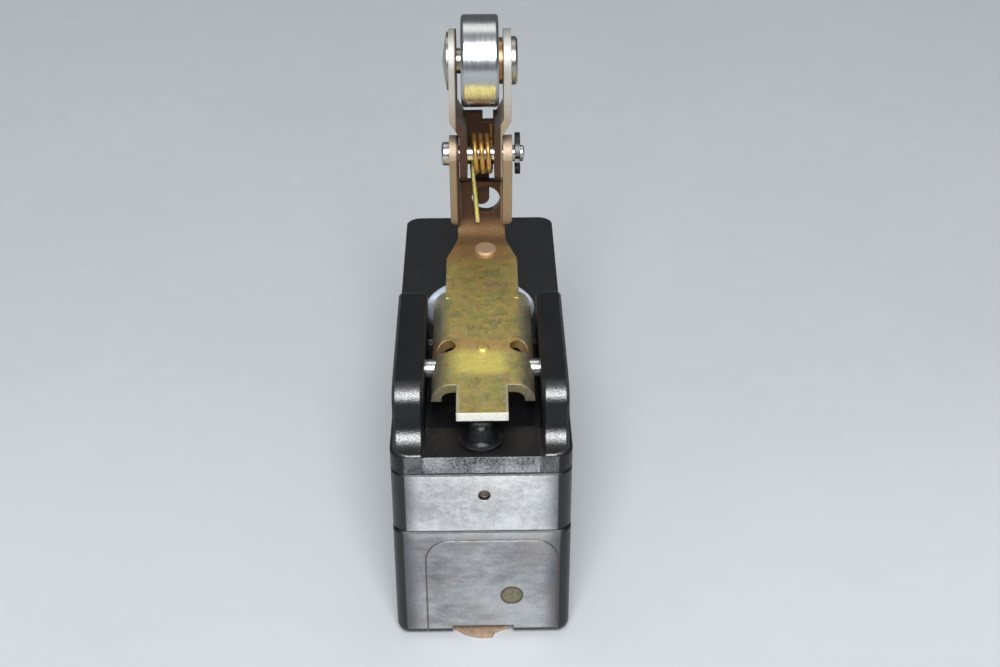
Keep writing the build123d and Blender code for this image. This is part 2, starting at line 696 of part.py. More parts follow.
def make_fork():
    """The lever's web and its two forward-bent fork arms, as a block hollowed from the front."""
    back = WEB_FRONT + SHEET
    inside = FORK_WIDTH - 2 * SHEET
    front = FOLD_Y - FORK_END_RADIUS
    foot_front = FOLD_Y + 0.4
    back_round = 0.7
    foot_round = 0.6
    hollow_depth = 6.0
    hollow_corner = 0.3
    above = 4.0
    with BuildPart() as fork:
        with BuildSketch(Plane.YZ):
            with BuildLine():
                Polyline((foot_front, FORK_BOTTOM), (back, FORK_BOTTOM), (back, WEB_TOP))
                Line((back, WEB_TOP), (FOLD_Y + FORK_END_RADIUS, FOLD_Z))
                ThreePointArc(
                    (FOLD_Y + FORK_END_RADIUS, FOLD_Z),
                    (FOLD_Y, FOLD_Z + FORK_END_RADIUS),
                    (front, FOLD_Z),
                )
                Line((front, FOLD_Z), (foot_front, FORK_BOTTOM))
            make_face()
        extrude(amount=FORK_WIDTH / 2, both=True)
        web_sides = fork.edges().filter_by(Axis.Z).sort_by(Axis.Y)[-2:]
        fillet(web_sides, back_round)
        feet = fork.faces().sort_by(Axis.Z)[0].edges().filter_by(Axis.Y)
        fillet(feet, foot_round)
        # hollow between the arms
        with BuildSketch(Plane.XY.offset(FORK_BOTTOM - 1)):
            with Locations((0, WEB_FRONT - hollow_depth / 2)):
                RectangleRounded(inside, hollow_depth, hollow_corner)
        extrude(amount=FOLD_Z + above - FORK_BOTTOM, mode=Mode.SUBTRACT)
        with BuildSketch(Plane.XY.offset(WEB_TOP)):
            with Locations((0, WEB_FRONT)):
                Rectangle(inside, above)
        extrude(amount=2 * above, mode=Mode.SUBTRACT)
    return fork


def make_lever():
    """The stamped lever: a channel at the pivot, a tail tab, a narrow arm and a fork."""
    along = Plane(
        origin=(0, PIVOT_Y, PIVOT_Z),
        x_dir=(-1, 0, 0),
        z_dir=(0, cos(LEVER_TILT), sin(LEVER_TILT)),
    )
    inner_bend = LEVER_BEND - SHEET
    flange_low = -1.9
    inside_width = LEVER_WIDTH - 2 * SHEET
    rise_y = PIVOT_Y + 3.2
    nose_y = PIVOT_Y - 2.6
    flange_back = PIVOT_Y + LEVER_BACK + 1
    flange_front = PIVOT_Y + LEVER_FRONT - 1
    clear = 8.0
    hole_y = -11.65
    hole_x = 3.75
    hole_radius = 0.95
    hole_lean = radians(22)
    bend_radius = 2.4
    pip = (0, -12.05, 0.6, 0.2)
    dimple = (0.4, 5.0, 1.3, 0.45)
    root = 0.3
    fork = make_fork()
    with BuildPart() as lever:
        # channel round the pivot
        with BuildSketch(along.offset(LEVER_FRONT)):
            with BuildLine():
                FilletPolyline(
                    (-LEVER_WIDTH / 2, flange_low),
                    (-LEVER_WIDTH / 2, LEVER_TOP),
                    (LEVER_WIDTH / 2, LEVER_TOP),
                    (LEVER_WIDTH / 2, flange_low),
                    radius=LEVER_BEND,
                )
                Line((LEVER_WIDTH / 2, flange_low), (-LEVER_WIDTH / 2, flange_low))
            make_face()
            with BuildLine():
                FilletPolyline(
                    (-inside_width / 2, flange_low),
                    (-inside_width / 2, LEVER_TOP - SHEET),
                    (inside_width / 2, LEVER_TOP - SHEET),
                    (inside_width / 2, flange_low),
                    radius=inner_bend,
                )
                Line((inside_width / 2, flange_low), (-inside_width / 2, flange_low))
            make_face(mode=Mode.SUBTRACT)
        extrude(amount=LEVER_BACK - LEVER_FRONT)
        # the flanges rise toward the arm and their front corners are rounded
        with BuildSketch(Plane.YZ):
            with BuildLine():
                Polyline(
                    (rise_y, RIM - 1),
                    (rise_y, RIM + 0.6),
                    (flange_back, RIM + 3.4),
                    (flange_back, RIM - 1),
                    close=True,
                )
            make_face()
            with BuildLine():
                Polyline(
                    (flange_front, RIM - 1),
                    (flange_front, RIM + 2.4),
                    (nose_y, RIM + 0.3),
                    (nose_y, RIM - 1),
                    close=True,
                )
            make_face()
        extrude(amount=LEVER_WIDTH, both=True, mode=Mode.SUBTRACT)
        # rounded shoulders where the channel meets the narrow arm
        shoulder = 0.8
        with BuildSketch(Plane.XY.offset(RIM)):
            with BuildLine():
                shoulder_y = PIVOT_Y + LEVER_BACK * cos(LEVER_TILT) - shoulder
                right_x = LEVER_WIDTH / 2
                Polyline((right_x + 1, shoulder_y), (right_x, shoulder_y))
                RadiusArc((right_x, shoulder_y), (right_x - shoulder, shoulder_y + shoulder), -shoulder)
                Polyline(
                    (right_x - shoulder, shoulder_y + shoulder),
                    (right_x - shoulder, flange_back),
                    (right_x + 1, flange_back),
                    (right_x + 1, shoulder_y),
                )
            make_face()
            mirror(about=Plane.YZ)
        extrude(amount=clear, mode=Mode.SUBTRACT)
        # the tail tab, over its stop
        tab_root = PIVOT_Y + LEVER_FRONT + 0.8
        with BuildSketch(across(TAB_X)):
            with BuildLine():
                top_line = Line((tab_root, lever_top(tab_root)), (TAB_TIP_Y, lever_top(TAB_TIP_Y)))
                offset(top_line, amount=SHEET, side=Side.LEFT)
            make_face()
        extrude(amount=TAB_WIDTH / 2, both=True)
        # the narrow arm and its bend up into the web, tapered in plan to the neck
        arm_start = PIVOT_Y + LEVER_BACK - 1.5
        with BuildSketch(Plane.YZ):
            with BuildLine():
                arm_line = FilletPolyline(
                    (arm_start, lever_top(arm_start)),
                    (WEB_FRONT, lever_top(WEB_FRONT)),
                    (WEB_FRONT, FORK_BOTTOM + 1),
                    radius=bend_radius,
                )
                offset(arm_line, amount=SHEET, side=Side.RIGHT)
            make_face()
        extrude(amount=NARROW_WIDTH / 2, both=True)
        with BuildSketch(Plane.XY.offset(RIM)):
            with BuildLine():
                outer_x = NARROW_WIDTH / 2
                neck_back = WEB_FRONT + 2 * SHEET
                Polyline(
                    (outer_x, TAPER_START),
                    (NECK_WIDTH / 2, TAPER_END),
                    (NECK_WIDTH / 2, neck_back),
                    (outer_x + 1, neck_back),
                    (outer_x + 1, TAPER_START),
                    close=True,
                )
            make_face()
            mirror(about=Plane.YZ)
        extrude(amount=WEB_TOP - RIM, mode=Mode.SUBTRACT)
        add(fork.part)
        # holes: pivot, folding pin, web window, and the relief holes at the bends
        with BuildSketch(across(-LEVER_WIDTH)):
            with Locations((PIVOT_Y, PIVOT_Z)):
                Circle(PIVOT_RADIUS + RUNNING)
            with Locations((FOLD_Y, FOLD_Z)):
                Circle(FOLD_PIN_RADIUS)
        extrude(amount=2 * LEVER_WIDTH, mode=Mode.SUBTRACT)
        with BuildSketch(facing(WEB_FRONT + SHEET / 2)):
            with Locations((WEB_HOLE_X, WEB_HOLE_Z)):
                Circle(WEB_HOLE_RADIUS)
        extrude(amount=SHEET, both=True, mode=Mode.SUBTRACT)
        for side in (-1, 1):
            bend_face = Plane(
                origin=(side * hole_x, hole_y, lever_top(hole_y)),
                z_dir=(side * sin(hole_lean), 0, cos(hole_lean)),
            )
            with BuildSketch(bend_face):
                Circle(hole_radius)
            extrude(amount=2 * SHEET, both=True, mode=Mode.SUBTRACT)
        # a punched pip over the pivot and a pressed dimple at the bend
        for pip_x, y, radius, rise in (pip, dimple):
            seat = Plane(
                origin=(pip_x, y, lever_top(y)),
                z_dir=(0, -sin(LEVER_TILT), cos(LEVER_TILT)),
            )
            with BuildSketch(seat.offset(-root)):
                Circle(radius)
            extrude(amount=rise + root)
            rim_centre = seat.offset(rise).origin
            rims = lever.edges().filter_by(GeomType.CIRCLE)
            fillet(rims.sort_by_distance(rim_centre)[0], rise * 0.9)
    save(lever, "actuating_lever", LEVER_X)


# ---------------------------------------------------------------- folding joint
def make_fold_pin():
    """The headed pin through the fork and bracket, grooved for its retaining ring."""
    head_left = -4.15
    pin_right = 4.6
    fork_face = FORK_WIDTH / 2
    with BuildPart() as pin:
        with BuildSketch(across(head_left)):
            with Locations((FOLD_Y, FOLD_Z)):
                Circle(1.25)
        extrude(amount=-fork_face - head_left)
        fillet(pin.faces().sort_by(Axis.X)[0].edges(), 0.3)
        with BuildSketch(across(-fork_face)):
            with Locations((FOLD_Y, FOLD_Z)):
                Circle(FOLD_PIN_RADIUS)
        extrude(amount=pin_right + fork_face)
        chamfer(pin.faces().sort_by(Axis.X)[-1].edges(), 0.15)
        with BuildSketch(across(RING_LEFT)):
            with Locations((FOLD_Y, FOLD_Z)):
                Circle(FOLD_PIN_RADIUS + 0.1)
                Circle(RING_GRIP, mode=Mode.SUBTRACT)
        extrude(amount=RING_THICKNESS, mode=Mode.SUBTRACT)
    save(pin, "bracket_pivot_pin", LEVER_X)

    with BuildPart() as ring:
        with BuildSketch(across(RING_LEFT)):
            with Locations((FOLD_Y, FOLD_Z)):
                Circle(RING_RADIUS)
                Circle(RING_THROAT, mode=Mode.SUBTRACT)
            for turn in (0, 120, 240):
                middle = (RING_GRIP + RING_THROAT) / 2 + 0.1
                lobe_y = FOLD_Y + middle * cos(radians(turn))
                lobe_z = FOLD_Z + middle * sin(radians(turn))
                with Locations(Location((lobe_y, lobe_z), turn)):
                    Rectangle(RING_THROAT - RING_GRIP + 0.2, 0.9)
            with Locations((FOLD_Y, FOLD_Z)):
                Circle(RING_GRIP, mode=Mode.SUBTRACT)
            with Locations((FOLD_Y - RING_RADIUS, FOLD_Z)):
                Rectangle(2.2, 1.3, mode=Mode.SUBTRACT)
        extrude(amount=RING_THICKNESS)
    save(ring, "retaining_ring", LEVER_X)


def make_torsion_spring():
    """A close-wound spring on the folding pin, one leg on each web."""
    start = radians(-COIL_START_ANGLE)
    coil_plane = Plane(
        origin=(COIL_START_X, FOLD_Y, FOLD_Z),
        x_dir=(0, cos(start), sin(start)),
        z_dir=(1, 0, 0),
    )
    touch = WIRE + 0.06
    drift = 0.5
    coil = coil_plane * Helix(COIL_PITCH, COIL_PITCH * COIL_TURNS, COIL_RADIUS)
    with BuildPart() as spring:
        with BuildSketch(Plane(origin=coil @ 0, z_dir=coil % 0)):
            Circle(WIRE)
        sweep(path=coil, is_frenet=True)
        legs = (
            (coil @ 0, WEB_FRONT - touch, FORK_BOTTOM, drift),
            (coil @ 1, BRACKET_WEB_FRONT - touch, BRACKET_WEB_TOP - 1.2, 0),
        )
        for root, leg_y, end_z, lean in legs:
            # the coil's tangent runs on to the web, and the leg then lies along it
            knee_z = root.Z + (leg_y - root.Y) * cos(start) / -sin(start)
            with BuildLine():
                leg = Polyline(root, (root.X, leg_y, knee_z), (root.X + lean, leg_y, end_z))
            with BuildSketch(Plane(origin=leg @ 0, z_dir=leg % 0)):
                Circle(WIRE)
            sweep(path=leg, transition=Transition.ROUND)
    save(spring, "torsion_spring", LEVER_X)


# ---------------------------------------------------------------- roller bracket and roller
def make_bracket():
    """The U-shaped bracket: two joggled side plates, a web behind and a stop tongue."""
    lower = BRACKET_LOWER_WIDTH / 2
    upper = BRACKET_UPPER_WIDTH / 2
    top = ROLLER_Z + BRACKET_HEAD_RADIUS + 1
    low = BRACKET_FOOT - 1
    back = BRACKET_WEB_FRONT + BRACKET_SHEET
    with BuildPart() as bracket:
        # both side plates seen from the front
        with BuildSketch(Plane.XZ):
            with BuildLine():
                plate = FilletPolyline(
                    (lower, low), (lower, JOGGLE_BOTTOM), (upper, JOGGLE_TOP), (upper, top), radius=0.9
                )
                offset(plate, amount=BRACKET_SHEET, side=Side.LEFT)
            make_face()
            mirror(about=Plane.YZ)
        extrude(amount=20, both=True)
        # trimmed to their outline seen from the side
        with BuildSketch(Plane.YZ):
            with BuildLine():
                head_front = ROLLER_Y - BRACKET_HEAD_RADIUS
                head_back = ROLLER_Y + BRACKET_HEAD_RADIUS
                Line((head_front, ROLLER_Z), (5.0, FOLD_Z))
                Polyline((5.0, FOLD_Z), (5.0, BRACKET_FOOT + 0.8), (5.8, BRACKET_FOOT))
                Polyline((5.8, BRACKET_FOOT), (back, BRACKET_FOOT), (back, FOLD_Z + 1))
                Line((back, FOLD_Z + 1), (head_back, ROLLER_Z))
                ThreePointArc(
                    (head_back, ROLLER_Z), (ROLLER_Y, ROLLER_Z + BRACKET_HEAD_RADIUS), (head_front, ROLLER_Z)
                )
            make_face()
        extrude(amount=20, both=True, mode=Mode.INTERSECT)
        # the web between the plates, notched at the top, with a stop tongue behind the lever
        inner = lower - 0.1
        notch_depth = 1.0
        with BuildSketch(facing(BRACKET_WEB_FRONT)):
            with Locations((0, (BRACKET_WEB_TOP + BRACKET_WEB_BOTTOM) / 2)):
                Rectangle(2 * inner, BRACKET_WEB_TOP - BRACKET_WEB_BOTTOM)
            with Locations((0.8, BRACKET_WEB_TOP)):
                Rectangle(1.1, 2 * notch_depth, mode=Mode.SUBTRACT)
            with Locations((0, (TONGUE_END + TONGUE_WIDTH / 2 + BRACKET_WEB_BOTTOM) / 2)):
                Rectangle(TONGUE_WIDTH, BRACKET_WEB_BOTTOM - TONGUE_END - TONGUE_WIDTH / 2)
            with Locations((0, TONGUE_END + TONGUE_WIDTH / 2)):
                Circle(TONGUE_WIDTH / 2)
        extrude(amount=-BRACKET_SHEET)
        with BuildSketch(across(-10)):
            with Locations((FOLD_Y, FOLD_Z)):
                Circle(FOLD_PIN_RADIUS + RUNNING)
            with Locations((ROLLER_Y, ROLLER_Z)):
                Circle(RIVET_RADIUS)
        extrude(amount=20, mode=Mode.SUBTRACT)
    save(bracket, "roller_bracket", LEVER_X)


def make_roller():
    """The roller, its flanged bush and the rivet it turns on."""
    roller_right = ROLLER_LEFT + ROLLER_WIDTH
    plate_face = BRACKET_UPPER_WIDTH / 2
    with BuildPart() as roller:
        with BuildSketch(across(ROLLER_LEFT)):
            with Locations((ROLLER_Y, ROLLER_Z)):
                Circle(ROLLER_RADIUS)
        extrude(amount=ROLLER_WIDTH)
        fillet(roller.edges().filter_by(GeomType.CIRCLE), 0.35)
        with BuildSketch(across(ROLLER_LEFT)):
            with Locations((ROLLER_Y, ROLLER_Z)):
                Circle(BUSH_RADIUS)
        extrude(amount=ROLLER_WIDTH, mode=Mode.SUBTRACT)
    save(roller, "roller", LEVER_X)

    with BuildPart() as bush:
        with BuildSketch(across(ROLLER_LEFT)):
            with Locations((ROLLER_Y, ROLLER_Z)):
                Circle(BUSH_RADIUS)
        extrude(amount=ROLLER_WIDTH)
        with BuildSketch(across(roller_right)):
            with Locations((ROLLER_Y, ROLLER_Z)):
                Circle(BUSH_FLANGE_RADIUS)
        extrude(amount=BUSH_FLANGE)
        with BuildSketch(across(ROLLER_LEFT)):
            with Locations((ROLLER_Y, ROLLER_Z)):
                Circle(RIVET_RADIUS + RUNNING)
        extrude(amount=ROLLER_WIDTH + BUSH_FLANGE, mode=Mode.SUBTRACT)
    save(bush, "roller_bush", LEVER_X)

    dome_height = 0.65
    dome_radius = 3.0
    dome_rim = 0.2
    flat_head_radius = 2.5
    flat_head_height = 0.65
    dome_x = -plate_face - dome_height
    flat_x = plate_face + flat_head_height
    with BuildPart() as rivet:
        with BuildSketch(Plane.XY):
            with BuildLine():
                ThreePointArc(
                    (dome_x, 0),
                    (dome_x + 0.2, dome_radius * 0.55),
                    (-plate_face - dome_rim, dome_radius),
                )
                Polyline(
                    (-plate_face - dome_rim, dome_radius),
                    (-plate_face, dome_radius),
                    (-plate_face, RIVET_RADIUS),
                    (plate_face, RIVET_RADIUS),
                    (plate_face, flat_head_radius),
                    (flat_x - 0.2, flat_head_radius),
                    (flat_x, flat_head_radius - 0.2),
                    (flat_x, 0),
                    (dome_x, 0),
                )
            make_face()
        revolve(axis=Axis.X)
    rivet.part.position = (0, ROLLER_Y, ROLLER_Z)
    save(rivet, "roller_rivet", LEVER_X)


make_terminal_cover()
cover_screw_tip = make_cover_screws()
make_switch_base(cover_screw_tip)
near_screw_tip, far_screw_tip = make_case_screws()
make_top_cover(near_screw_tip, far_screw_tip)
make_tail_stop()
make_terminals()
make_contacts()
make_plunger()
make_pivot_pin()
make_lever()
make_fold_pin()
make_torsion_spring()
make_bracket()
make_roller()
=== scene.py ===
"""Looks of the limit switch: materials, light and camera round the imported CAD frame."""

from math import cos, pi, radians, sin

import bpy
from mathutils import Euler, Matrix, Vector


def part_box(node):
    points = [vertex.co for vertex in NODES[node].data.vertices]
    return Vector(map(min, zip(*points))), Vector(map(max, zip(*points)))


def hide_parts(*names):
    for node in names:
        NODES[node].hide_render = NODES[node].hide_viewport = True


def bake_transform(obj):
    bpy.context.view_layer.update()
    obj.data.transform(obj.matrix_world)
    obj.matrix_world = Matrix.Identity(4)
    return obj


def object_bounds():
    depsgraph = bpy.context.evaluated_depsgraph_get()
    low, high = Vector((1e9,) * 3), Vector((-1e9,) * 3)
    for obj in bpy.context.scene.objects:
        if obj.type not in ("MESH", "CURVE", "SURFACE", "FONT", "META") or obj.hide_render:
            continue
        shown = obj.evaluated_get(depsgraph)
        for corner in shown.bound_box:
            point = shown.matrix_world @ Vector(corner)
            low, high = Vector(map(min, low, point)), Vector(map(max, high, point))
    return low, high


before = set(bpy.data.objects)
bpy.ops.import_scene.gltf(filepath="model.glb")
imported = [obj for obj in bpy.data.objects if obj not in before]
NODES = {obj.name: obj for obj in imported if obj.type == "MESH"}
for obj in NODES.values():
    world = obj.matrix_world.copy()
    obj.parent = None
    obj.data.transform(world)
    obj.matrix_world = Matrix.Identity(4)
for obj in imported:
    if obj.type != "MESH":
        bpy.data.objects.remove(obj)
cad_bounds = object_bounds()

MM = 0.001
SEAM_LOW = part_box("switch_base")[0].z / MM
SEAM_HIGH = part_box("switch_base")[1].z / MM


# ------------------------------------------------------------------ node helpers
class Shader:
    """A small builder for one procedural material, with object coordinates in millimetres."""

    def __init__(self, name):
        self.material = bpy.data.materials.new(name)
        self.material.use_nodes = True
        self.tree = self.material.node_tree
        self.bsdf = self.tree.nodes["Principled BSDF"]
        coords = self.node("ShaderNodeTexCoord")
        self.normal = coords.outputs["Normal"]
        self.mm = self.vector_math("SCALE", coords.outputs["Object"], scale=1 / MM)
        axes = self.node("ShaderNodeSeparateXYZ")
        self.link(self.mm, axes.inputs[0])
        self.x, self.y, self.z = axes.outputs
        facing = self.node("ShaderNodeSeparateXYZ")
        self.link(self.normal, facing.inputs[0])
        self.nx, self.ny, self.nz = facing.outputs

    def node(self, kind, **settings):
        made = self.tree.nodes.new(kind)
        for key, value in settings.items():
            setattr(made, key, value)
        return made

    def link(self, source, target):
        self.tree.links.new(source, target)

    def feed(self, target, value):
        """Link a socket, or set a plain value."""
        if isinstance(value, bpy.types.NodeSocket):
            self.link(value, target)
        elif hasattr(value, "__len__") and len(value) == 3 and target.type == "RGBA":
            target.default_value = (*value, 1)
        else:
            target.default_value = value

    def set(self, **values):
        """Set the main shader's sockets, spaces written as underscores."""
        for key, value in values.items():
            self.feed(self.bsdf.inputs[key.replace("_", " ")], value)

    def vector_math(self, operation, a, b=None, scale=None):
        made = self.node("ShaderNodeVectorMath", operation=operation)
        self.feed(made.inputs[0], a)
        if b is not None:
            self.feed(made.inputs[1], b)
        if scale is not None:
            made.inputs["Scale"].default_value = scale
        return made.outputs[0]

    def math(self, operation, a, b=0.0, c=0.0):
        made = self.node("ShaderNodeMath", operation=operation)
        self.feed(made.inputs[0], a)
        self.feed(made.inputs[1], b)
        self.feed(made.inputs[2], c)
        return made.outputs[0]

    def product(self, first, *others):
        for other in others:
            first = self.math("MULTIPLY", first, other)
        return first

    def away(self, value, centre=0.0):
        """How far a value is from a centre, either way."""
        return self.math("ABSOLUTE", self.math("SUBTRACT", value, centre))

    def radius(self, a, a_centre, b, b_centre):
        """Distance from a centre, in the plane of two axes."""
        off_a = self.math("SUBTRACT", a, a_centre)
        off_b = self.math("SUBTRACT", b, b_centre)
        squares = self.math("ADD", self.product(off_a, off_a), self.product(off_b, off_b))
        return self.math("SQRT", squares)

    def step(self, value, low, high, out_low=0.0, out_high=1.0):
        """A smooth ramp from out_low to out_high as value goes from low to high."""
        made = self.node("ShaderNodeMapRange", interpolation_type="SMOOTHSTEP")
        self.feed(made.inputs["Value"], value)
        made.inputs["From Min"].default_value = low
        made.inputs["From Max"].default_value = high
        made.inputs["To Min"].default_value = out_low
        made.inputs["To Max"].default_value = out_high
        return made.outputs["Result"]

    def stretch(self, factors):
        return self.vector_math("MULTIPLY", self.mm, factors)

    def noise(self, per_mm, detail=3.0, rough=0.5, where=None, distort=0.0, shift=0.0):
        made = self.node("ShaderNodeTexNoise")
        place = self.mm if where is None else where
        if shift:
            place = self.vector_math("ADD", place, (shift, shift * 0.7, shift * 1.3))
        self.link(place, made.inputs["Vector"])
        made.inputs["Scale"].default_value = per_mm
        made.inputs["Detail"].default_value = detail
        made.inputs["Roughness"].default_value = rough
        made.inputs["Distortion"].default_value = distort
        return made.outputs["Fac"]

    def ramp(self, value, *stops):
        made = self.node("ShaderNodeValToRGB")
        self.link(value, made.inputs["Fac"])
        ramp = made.color_ramp
        while len(ramp.elements) < len(stops):
            ramp.elements.new(0.5)
        for element, (place, colour) in zip(ramp.elements, stops):
            element.position = place
            element.color = (*colour, 1)
        return made.outputs["Color"]

    def mix(self, factor, a, b):
        """Mix two colours."""
        made = self.node("ShaderNodeMix", data_type="RGBA")
        self.feed(made.inputs["Factor"], factor)
        self.feed(made.inputs[6], a)
        self.feed(made.inputs[7], b)
        return made.outputs[2]

    def blend(self, factor, a, b):
        """Mix two plain numbers or number sockets."""
        made = self.node("ShaderNodeMix", data_type="FLOAT")
        self.feed(made.inputs["Factor"], factor)
        self.feed(made.inputs[2], a)
        self.feed(made.inputs[3], b)
        return made.outputs[0]

    def bump(self, height, depth_mm, under=None):
        made = self.node("ShaderNodeBump")
        made.inputs["Strength"].default_value = 1.0
        made.inputs["Distance"].default_value = depth_mm * MM
        self.feed(made.inputs["Height"], height)
        if under is not None:
            self.link(under, made.inputs["Normal"])
        return made.outputs["Normal"]

    def soft_edges(self, radius_mm):
        made = self.node("ShaderNodeBevel", samples=6)
        made.inputs["Radius"].default_value = radius_mm * MM
        return made.outputs["Normal"]


def dress(shader, *names):
    """Give CAD nodes a material."""
    for name in names:
        node = NODES[name]
        node.data.materials.clear()
        node.data.materials.append(shader.material)


# ------------------------------------------------------------------ moulded body
def end_face_mask(shader):
    """1 on the flat end faces of the body, 0 elsewhere."""
    return shader.step(shader.away(shader.ny), 0.972, 0.99)


def black_moulding(name, grain_depth=0.03):
    """Fine-grained black phenolic, with its surface grain as bump."""
    shader = Shader(name)
    grain = shader.noise(5.5, detail=2.0, rough=0.6)
    fine = shader.noise(17.0, detail=2.0, shift=3.1)
    cloud = shader.noise(0.22, detail=4.0, shift=7.7)
    edges = shader.soft_edges(0.16)
    relief = shader.bump(grain, grain_depth, edges)
    relief = shader.bump(fine, grain_depth * 0.35, relief)
    return shader, grain, fine, cloud, relief


def black_film(shader, cloud, specks_per_mm, speck_level, dustiness):
    """Near-black moulding colour, with pale specks of dust."""
    plain = shader.ramp(cloud, (0.35, (0.0030, 0.0031, 0.0038)), (0.7, (0.0060, 0.0062, 0.0074)))
    specks = shader.noise(specks_per_mm, detail=2.0, shift=5.0)
    dust = shader.step(specks, speck_level, speck_level + 0.12, 0.0, dustiness)
    return shader.mix(dust, plain, (0.035, 0.036, 0.039))


def rubbed_colour(shader, smear, bright, dark, brown_level, blooms, tilt):
    """Silvery rubbed metal-like bloom, cloudy, with brown stains and paler seams."""
    mottle = shader.noise(0.12, detail=3.0, rough=0.45, shift=1.7, distort=0.3)
    spots = shader.noise(4.2, detail=3.0, rough=0.7, shift=9.0)
    level = shader.math("MULTIPLY_ADD", smear, 0.20, shader.product(mottle, 0.36))
    level = shader.math("MULTIPLY_ADD", spots, 0.13, level)
    slope = shader.step(shader.x, -4.0, 6.0, 0.155 + tilt, 0.155 - tilt)
    level = shader.math("ADD", level, slope)
    colour = shader.ramp(level, (0.42, dark), (0.58, bright))
    stain = shader.noise(0.24, detail=5.0, rough=0.6, shift=12.3, distort=0.6)
    stain = shader.step(stain, brown_level, brown_level + 0.18, 0.0, 0.3)
    colour = shader.mix(stain, colour, (0.30, 0.235, 0.19))
    for seam_z, reach in blooms:
        bloom = shader.step(shader.away(shader.z, seam_z), 0.15, reach, 0.30, 0.0)
        colour = shader.mix(bloom, colour, (0.80, 0.80, 0.79))
    return colour


def body_material(name, node, bright, dark, streaks, brown_level, blooms, tilt, peel_depth):
    """A body layer: black all over, with silvery rubbed end faces."""
    groove_side, cover_foot, cover_brim = 7.3, 1.3, SEAM_LOW - 0.4
    shader, grain, fine, cloud, relief = black_moulding(name)
    face_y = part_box(node)[0].y / MM
    flat = end_face_mask(shader)
    # the fine lines cut in the near face are rubbed too
    groove = shader.product(
        shader.step(shader.y, face_y + 0.3, face_y + 0.2),
        shader.step(shader.away(shader.x), groove_side, groove_side - 0.2),
        shader.step(shader.z, cover_foot, cover_foot + 0.2),
        shader.step(shader.z, cover_brim, cover_brim - 0.2),
    )
    ends = shader.math("MAXIMUM", flat, groove)
    smear = shader.noise(1.3, detail=5.0, rough=0.62, where=shader.stretch(streaks), shift=4.0)
    peel = shader.noise(2.6, detail=3.0, rough=0.55, where=shader.stretch(streaks), shift=15.0)
    rubbed = rubbed_colour(shader, smear, bright, dark, brown_level, blooms, tilt)
    # it fades towards the body's sides
    wavy = shader.math("MULTIPLY_ADD", smear, 1.6, shader.away(shader.x))
    rubbed = shader.mix(shader.step(wavy, 6.7, 8.5, 0.0, 0.8), rubbed, (0.075, 0.08, 0.09))
    # marks sunk in the near face are brown
    behind_face = shader.step(shader.y, face_y + 0.06, face_y + 0.14)
    near_half = shader.step(shader.y, 0.0, -1.0)
    sunk = shader.product(behind_face, near_half, flat)
    rubbed = shader.mix(sunk, rubbed, (0.27, 0.22, 0.18))
    matt = shader.step(grain, 0.3, 0.7, 0.30, 0.42)
    satin = shader.step(fine, 0.3, 0.7, 0.34, 0.46)
    shader.set(
        Base_Color=shader.mix(ends, black_film(shader, cloud, 9.0, 0.68, 0.35), rubbed),
        Metallic=shader.product(ends, 0.8),
        Roughness=shader.blend(ends, matt, satin),
        Specular_IOR_Level=0.5,
        Normal=shader.bump(shader.product(peel, ends), peel_depth, relief),
    )
    return shader


def rubbed_layers():
    """The lower and middle moulded layers, with rubbed end faces."""
    middle = body_material(
        "rubbed_base",
        "switch_base",
        bright=(0.93, 0.925, 0.91),
        dark=(0.40, 0.405, 0.41),
        streaks=(1.0, 1.0, 1.4),
        brown_level=0.50,
        blooms=((SEAM_LOW, 1.6), (SEAM_HIGH, 0.9)),
        tilt=0.022,
        peel_depth=0.11,
    )
    dress(middle, "switch_base")
    lower = body_material(
        "rubbed_cover",
        "terminal_cover",
        bright=(0.50, 0.505, 0.515),
        dark=(0.14, 0.146, 0.155),
        streaks=(0.35, 1.0, 1.0),
        brown_level=0.44,
        blooms=((SEAM_LOW, 1.3), (0.0, 2.0)),
        tilt=0.006,
        peel_depth=0.04,
    )
    dress(lower, "terminal_cover")


def worn_cheeks(shader):
    """1 where the cheeks are worn glossy, on their near brows and dished feet."""
    brow_z, foot_z, near_y, channel_side = 25.4, 24.5, -19.4, 5.3
    brow = shader.step(shader.z, brow_z, brow_z + 0.8)
    foot = shader.step(shader.z, foot_z, foot_z - 0.5)
    return shader.product(
        shader.math("MAXIMUM", brow, foot),
        shader.step(shader.y, near_y, near_y - 0.8),
        shader.step(shader.away(shader.x), channel_side, channel_side + 0.3),
        shader.step(shader.nz, 0.22, 0.55),
        shader.step(shader.nz, 0.84, 0.96, 1.0, 0.2),
    )


